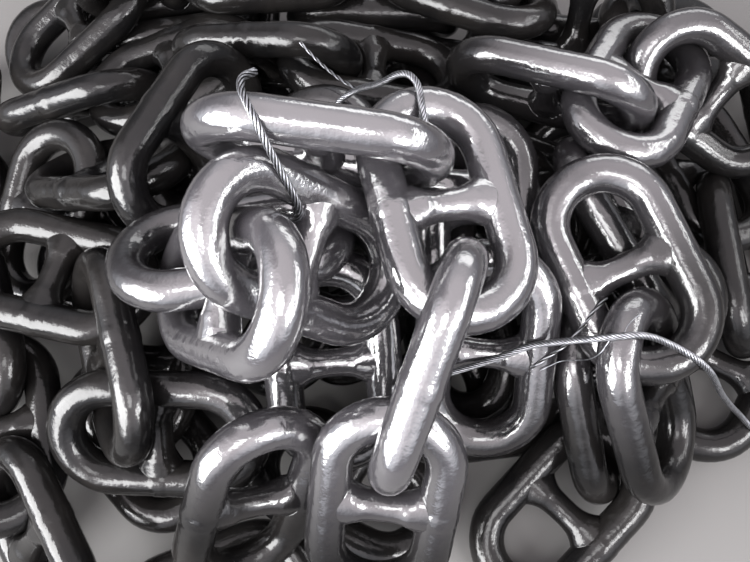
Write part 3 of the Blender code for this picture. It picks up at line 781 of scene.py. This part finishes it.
# Places for the links inside the heap, one try after another.
def layInnerLinks(look, linkLook, outerPlaces):
    chance = np.random.default_rng(look["seed"])
    balls, radii = linkBalls(linkLook)
    solid = bmesh.new()
    solid.from_mesh(nodes["hidden_links_core"].data)
    core = BVHTree.FromBMesh(solid)
    solid.free()
    outer = [balls @ np.array(place.to_3x3()).T + place.translation for place in outerPlaces]
    others = np.vstack(outer)
    otherRadii = np.tile(radii, len(outer))
    laid = []
    for attempt in range(look["tries"]):
        x, y = chance.uniform(*look["reach"])
        height, tilt, lean, heading = chance.uniform((0, -1, -1, -1), (1, 1, 1, 1))
        top = coreTop(core, x, y)
        if not top:
            continue
        highest = max(top.z, look["apron"])
        lowest = linkLook["barRadius"]
        place = np.array([x, y, lowest * (1 - height) + highest * height])
        steepest = math.radians(look["steepest"])
        turn = np.array(Euler((tilt * steepest, lean * steepest, heading * math.pi)).to_matrix())
        near = np.linalg.norm(others - place, axis=1) < look["nearby"]
        for steps, allowed in zip(look["pushes"], look["stillSunk"]):
            for step in range(steps):
                place, turn, deepest = pushStep(
                    place, turn, balls, radii, others[near], otherRadii[near], look,
                )
                if deepest == 0:
                    break
            if deepest > allowed:
                break
        spots = balls @ turn.T + place
        if deepest > allowed or not liesInCore(spots, radii, core, look):
            continue
        laid.append(Matrix.Translation(place) @ Matrix(turn.tolist()).to_4x4())
        others = np.vstack([others, spots])
        otherRadii = np.concatenate([otherRadii, radii - look["slack"]])
    return laid


# Many inner links as one piece.
def innerPiece(name, shape, places):
    bm = bmesh.new()
    for place in places:
        mesh = shape.copy()
        mesh.transform(place)
        bm.from_mesh(mesh)
        bpy.data.meshes.remove(mesh)
    roughen(bm, hammering)
    keepInBox(bm)
    piece = keepMesh(name, bm, hiddenPaint)
    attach(piece, "root")
    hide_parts("hidden_links_core")


innerLinks = layInnerLinks(innerHeap, link, [linkPlace(nodes[name]) for name in linkNodes])
innerPiece("inner_links_left", shape, [p for p in innerLinks if p.translation.x < 0])
innerPiece("inner_links_right", shape, [p for p in innerLinks if p.translation.x >= 0])
print(len(innerLinks), "links laid inside the heap")

# plain pale floor, in metres
room = {"floorSize": 24.0}
bm = bmesh.new()
bmesh.ops.create_grid(bm, x_segments=1, y_segments=1, size=room["floorSize"] / 2)
floor = keepMesh("floor", bm, floorFinish)

# soft studio light: place, size in metres, and the brightness that a reflection shows
softboxes = {
    "leftWindow": {"place": (-2.46, -1.54, 1.7), "size": (3.0, 2.1), "brightness": 43},
    "rightWindowNear": {"place": (1.45, -1.95, 1.98), "size": (0.4, 1.1), "brightness": 52},
    "rightWindowFar": {"place": (2.03, -1.53, 1.98), "size": (0.4, 1.1), "brightness": 52},
    "frontWindow": {"place": (-0.25, -1.19, 2.65), "size": (1.0, 0.7), "brightness": 14},
    "tubeLow": {"place": (2.6, -0.1, 1.55), "size": (2.4, 0.10), "brightness": 36},
    "tubeHigh": {"place": (2.5, 0.1, 2.1), "size": (2.4, 0.10), "brightness": 36},
    "backWindow": {"place": (1.4, 3.3, 1.7), "size": (3.0, 1.1), "brightness": 5},
}
# the studio round the heap: its colour and brightness at the floor's edge and overhead,
# and the soft glow round each window
studio = {
    "lowColour": "#e9edf6",
    "highColour": "#fdf5fa",
    "low": 0.45,
    "high": 2.85,
    "highFrom": 0.8,  # upward part of a direction, of 1, from which on it is all high
    "leftShare": 0.28,  # how much of that is left on the far left
    "leftFade": (-0.65, -0.2),  # sideways part of a direction between which that fades in
    "glows": (
        {"towards": (-0.77, -0.48, 0.42), "inner": 22, "outer": 62, "brightness": 4.0},
        {"towards": (0.59, -0.59, 0.55), "inner": 8, "outer": 42, "brightness": 2.8},
    ),
}
aim = Vector((0, 0, 0.35))  # where every lamp points, in the middle of the heap

for name, box in softboxes.items():
    data = bpy.data.lights.new(name, "AREA")
    data.shape = "RECTANGLE"
    data.size, data.size_y = box["size"]
    data.energy = math.pi * box["brightness"] * data.size * data.size_y
    lamp = bpy.data.objects.new(name, data)
    lamp.location = box["place"]
    lamp.rotation_euler = (aim - lamp.location).to_track_quat("-Z", "Y").to_euler()
    lamp.visible_camera = False
    collection.objects.link(lamp)

world = bpy.data.worlds.new("studio")
world.use_nodes = True
tree = world.node_tree
backdrop = tree.nodes["Background"]
direction = addNode(tree, "ShaderNodeTexCoord", {}).outputs["Generated"]
axes = addNode(tree, "ShaderNodeSeparateXYZ", {"Vector": direction})
upwards = addNode(tree, "ShaderNodeMapRange", {
    "Value": axes.outputs["Z"], "From Min": 0.0, "From Max": studio["highFrom"],
})
colour = addNode(tree, "ShaderNodeMix", {
    0: upwards.outputs["Result"],
    6: linear(studio["lowColour"]),
    7: linear(studio["highColour"]),
}, data_type="RGBA")
ceiling = addNode(tree, "ShaderNodeMapRange", {
    "Value": upwards.outputs["Result"], "To Min": studio["low"], "To Max": studio["high"],
})
leftwards = addNode(tree, "ShaderNodeMapRange", {
    "Value": axes.outputs["X"],
    "From Min": studio["leftFade"][0],
    "From Max": studio["leftFade"][1],
    "To Min": studio["leftShare"],
}, interpolation_type="SMOOTHSTEP")
strength = addNode(tree, "ShaderNodeMath", {
    0: ceiling.outputs["Result"], 1: leftwards.outputs["Result"],
}, operation="MULTIPLY").outputs["Value"]
for glow in studio["glows"]:
    nearness = addNode(tree, "ShaderNodeVectorMath", {
        0: direction, 1: Vector(glow["towards"]).normalized(),
    }, operation="DOT_PRODUCT")
    fade = addNode(tree, "ShaderNodeMapRange", {
        "Value": nearness.outputs["Value"],
        "From Min": math.cos(math.radians(glow["outer"])),
        "From Max": math.cos(math.radians(glow["inner"])),
        "To Max": glow["brightness"],
    }, interpolation_type="SMOOTHSTEP")
    strength = addNode(tree, "ShaderNodeMath", {
        0: strength, 1: fade.outputs["Result"],
    }, operation="ADD").outputs["Value"]
tree.links.new(colour.outputs[2], backdrop.inputs["Color"])
tree.links.new(strength, backdrop.inputs["Strength"])
bpy.context.scene.world = world
bpy.context.scene.view_settings.view_transform = "Standard"
print("floor and lights set")
